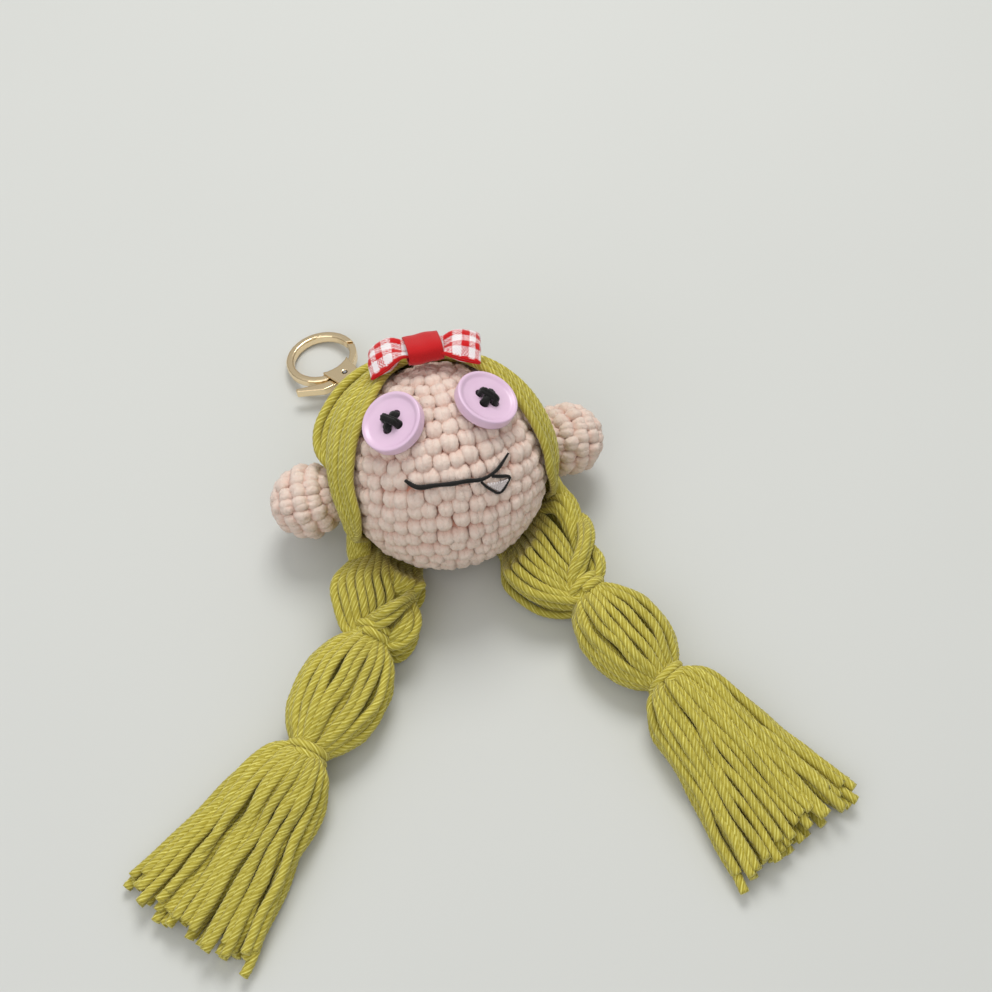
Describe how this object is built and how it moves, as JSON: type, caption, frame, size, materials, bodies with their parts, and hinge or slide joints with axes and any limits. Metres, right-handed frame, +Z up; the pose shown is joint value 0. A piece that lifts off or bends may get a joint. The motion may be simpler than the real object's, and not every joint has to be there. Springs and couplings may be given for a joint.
{
  "type": "yarn doll keychain",
  "caption": "Keychain made as a crocheted doll's head lying face up, with button eyes, a gingham bow, plaited yarn pigtails and a lobster clasp.",
  "frame": {"origin": "on the surface the doll lies on, straight under the middle of the head", "axes": "+Z up out of the face, +Y towards the crown, +X towards the ear on the right of someone looking at the face"},
  "size_m": [0.1846, 0.1971, 0.0582],
  "materials": {
    "pink_yarn": "soft acrylic yarn, crocheted",
    "green_yarn": "loose plied yarn",
    "fibre_fill": "polyester fibre",
    "gingham_ribbon": "woven red and white gingham",
    "button_plastic": "satin",
    "black_thread": "cotton thread",
    "white_thread": "cotton thread",
    "gold_metal": "polished, pale gold plated",
    "steel": "plain"
  },
  "bodies": {
    "doll_head": {"head_cover": "pink_yarn", "head_stuffing": "fibre_fill", "left_ear_cover": "pink_yarn", "left_ear_stuffing": "fibre_fill", "right_ear_cover": "pink_yarn", "right_ear_stuffing": "fibre_fill", "hair_left_front": "green_yarn", "hair_left_back": "green_yarn", "hair_right_front": "green_yarn", "hair_right_back": "green_yarn", "hair_nape": "green_yarn", "parting_stitch": "green_yarn", "left_eye_button": "button_plastic", "right_eye_button": "button_plastic", "left_eye_thread": "black_thread", "right_eye_thread": "black_thread", "mouth_thread": "black_thread", "tongue_outline_thread": "black_thread", "tongue_fill": "white_thread", "bow_band": "gingham_ribbon", "bow_left_loop": "gingham_ribbon", "bow_right_loop": "gingham_ribbon", "hanging_loop": "pink_yarn"},
    "left_plait": {"left_plait_gather": "green_yarn", "left_plait_bundle_1": "green_yarn", "left_plait_bundle_2": "green_yarn", "left_plait_bundle_3": "green_yarn", "left_first_tie": "green_yarn"},
    "left_bulb": {"left_bulb": "green_yarn", "left_second_tie": "green_yarn"},
    "left_tassel": {"left_tassel": "green_yarn"},
    "right_plait": {"right_plait_gather": "green_yarn", "right_plait_bundle_1": "green_yarn", "right_plait_bundle_2": "green_yarn", "right_plait_bundle_3": "green_yarn", "right_first_tie": "green_yarn"},
    "right_bulb": {"right_bulb": "green_yarn", "right_second_tie": "green_yarn"},
    "right_tassel": {"right_tassel": "green_yarn"},
    "swivel_eye": {"swivel_eye": "gold_metal"},
    "clasp_body": {"clasp_body": "gold_metal", "gate_pin": "steel", "gate_spring": "steel"},
    "gate_lever": {"gate_lever": "gold_metal"}
  },
  "joints": [
    {"name": "left_plait_swing", "type": "hinge", "parent": "doll_head", "child": "left_plait", "pos_m": [-0.03021, -0.00993, 0.01], "axis": [0, 0, 1], "range_deg": [-30, 8]},
    {"name": "left_bulb_swing", "type": "hinge", "parent": "left_plait", "child": "left_bulb", "pos_m": [-0.0293, -0.03612, 0.01], "axis": [0, 0, 1], "range_deg": [-20, 20]},
    {"name": "left_tassel_swing", "type": "hinge", "parent": "left_bulb", "child": "left_tassel", "pos_m": [-0.05318, -0.06311, 0.008], "axis": [0, 0, 1], "range_deg": [-20, 20]},
    {"name": "right_plait_swing", "type": "hinge", "parent": "doll_head", "child": "right_plait", "pos_m": [0.03016, -0.01009, 0.01], "axis": [0, 0, 1], "range_deg": [-8, 40]},
    {"name": "right_bulb_swing", "type": "hinge", "parent": "right_plait", "child": "right_bulb", "pos_m": [0.02815, -0.03882, 0.01], "axis": [0, 0, 1], "range_deg": [-20, 20]},
    {"name": "right_tassel_swing", "type": "hinge", "parent": "right_bulb", "child": "right_tassel", "pos_m": [0.04123, -0.06905, 0.008], "axis": [0, 0, 1], "range_deg": [-20, 20]},
    {"name": "clasp_swing", "type": "hinge", "parent": "doll_head", "child": "swivel_eye", "pos_m": [-0.01225, 0.04072, 0.00834], "axis": [0, 0, 1], "range_deg": [-60, 60]},
    {"name": "clasp_swivel", "type": "hinge", "parent": "swivel_eye", "child": "clasp_body", "pos_m": [-0.0109, 0.0379, 0.009], "axis": [-0.4211, 0.8829, -0.2079], "continuous": true},
    {"name": "gate_hinge", "type": "hinge", "parent": "clasp_body", "child": "gate_lever", "pos_m": [-0.0167, 0.05052, 0.00605], "axis": [-0.0895, 0.1877, 0.9781], "range_deg": [0, 22], "stiffness_Nm_per_rad": 0.02, "springref_deg": -22.92}
  ]
}
